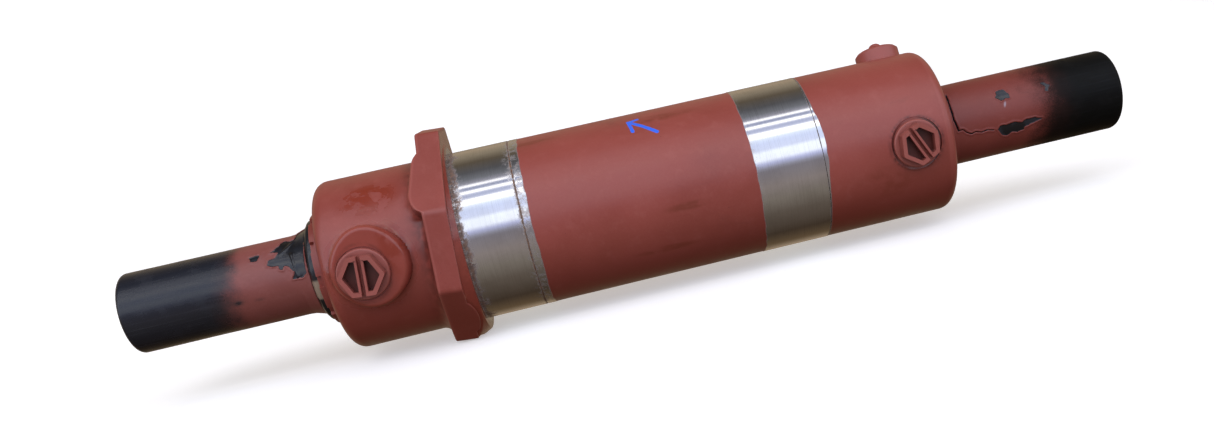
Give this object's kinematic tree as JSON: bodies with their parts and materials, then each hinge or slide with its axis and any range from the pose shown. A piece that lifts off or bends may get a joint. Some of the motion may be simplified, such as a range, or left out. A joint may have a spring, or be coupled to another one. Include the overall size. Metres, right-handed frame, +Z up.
{
  "type": "hydraulic cylinder",
  "caption": "Double-rod hydraulic cylinder with an eight-sided flange, bare clamping bands, plugged ports, a bleed screw and plastic sleeves over the rod ends.",
  "frame": {"origin": "on the rod's axis, in the plane of the flange's flat seating face", "axes": "+X along the axis from the flanged head to the plain head; -Y is the side both oil ports look to; +Z up, square to the ports"},
  "size_m": [0.5443, 0.115, 0.111],
  "materials": {
    "primer": "brushed and sprayed red-oxide primer, satin",
    "bare_steel": "ground bright, some surface rust",
    "rod_chrome": "hard chrome, ground",
    "steel": "turned",
    "bronze": "machined bronze",
    "seal_rubber": "moulded, glossy where wiped",
    "seal_poly": "moulded polyurethane",
    "ring_plastic": "turned plastic",
    "plug_plastic": "moulded plastic under primer",
    "sleeve_plastic": "extruded black plastic, primer overspray at the inner end"
  },
  "bodies": {
    "barrel": {"barrel_tube": "primer", "flanged_head": "primer", "plain_head": "primer", "left_gland_nut": "primer", "right_gland_ring": "primer", "left_rod_bush": "bronze", "right_rod_bush": "bronze", "left_rod_seal": "seal_poly", "right_rod_seal": "seal_poly", "left_wiper": "seal_rubber", "right_wiper": "seal_rubber", "left_head_o_ring": "seal_rubber", "right_head_o_ring": "seal_rubber", "left_backup_ring": "ring_plastic", "right_backup_ring": "ring_plastic", "bleed_boss": "primer"},
    "rod": {"piston_rod": "rod_chrome", "piston": "steel", "piston_seal": "seal_poly", "piston_wear_rings": "ring_plastic", "piston_o_ring": "seal_rubber", "piston_retaining_rings": "steel"},
    "left_plug": {"left_port_plug": "plug_plastic", "left_plug_o_ring": "seal_rubber"},
    "right_plug": {"right_port_plug": "plug_plastic", "right_plug_o_ring": "seal_rubber"},
    "bleeder": {"bleed_screw": "primer"},
    "left_sleeve": {"left_rod_sleeve": "sleeve_plastic"},
    "right_sleeve": {"right_rod_sleeve": "sleeve_plastic"}
  },
  "joints": [
    {"name": "rod_stroke", "type": "slide", "parent": "barrel", "child": "rod", "axis": [1, 0, 0], "range_m": [-0.09, 0.09]},
    {"name": "left_plug_out", "type": "slide", "parent": "barrel", "child": "left_plug", "axis": [0, -1, 0], "range_m": [0, 0.022]},
    {"name": "right_plug_out", "type": "slide", "parent": "barrel", "child": "right_plug", "axis": [0, -1, 0], "range_m": [0, 0.022]},
    {"name": "bleed_turn", "type": "hinge", "parent": "barrel", "child": "bleeder", "pos_m": [0.2435, 0.0171, 0.04698], "axis": [0, 0.342, 0.9397], "range_deg": [0, 360]},
    {"name": "left_sleeve_off", "type": "slide", "parent": "barrel", "child": "left_sleeve", "axis": [-1, 0, 0], "range_m": [0, 0.1]},
    {"name": "right_sleeve_off", "type": "slide", "parent": "barrel", "child": "right_sleeve", "axis": [1, 0, 0], "range_m": [0, 0.105]}
  ]
}
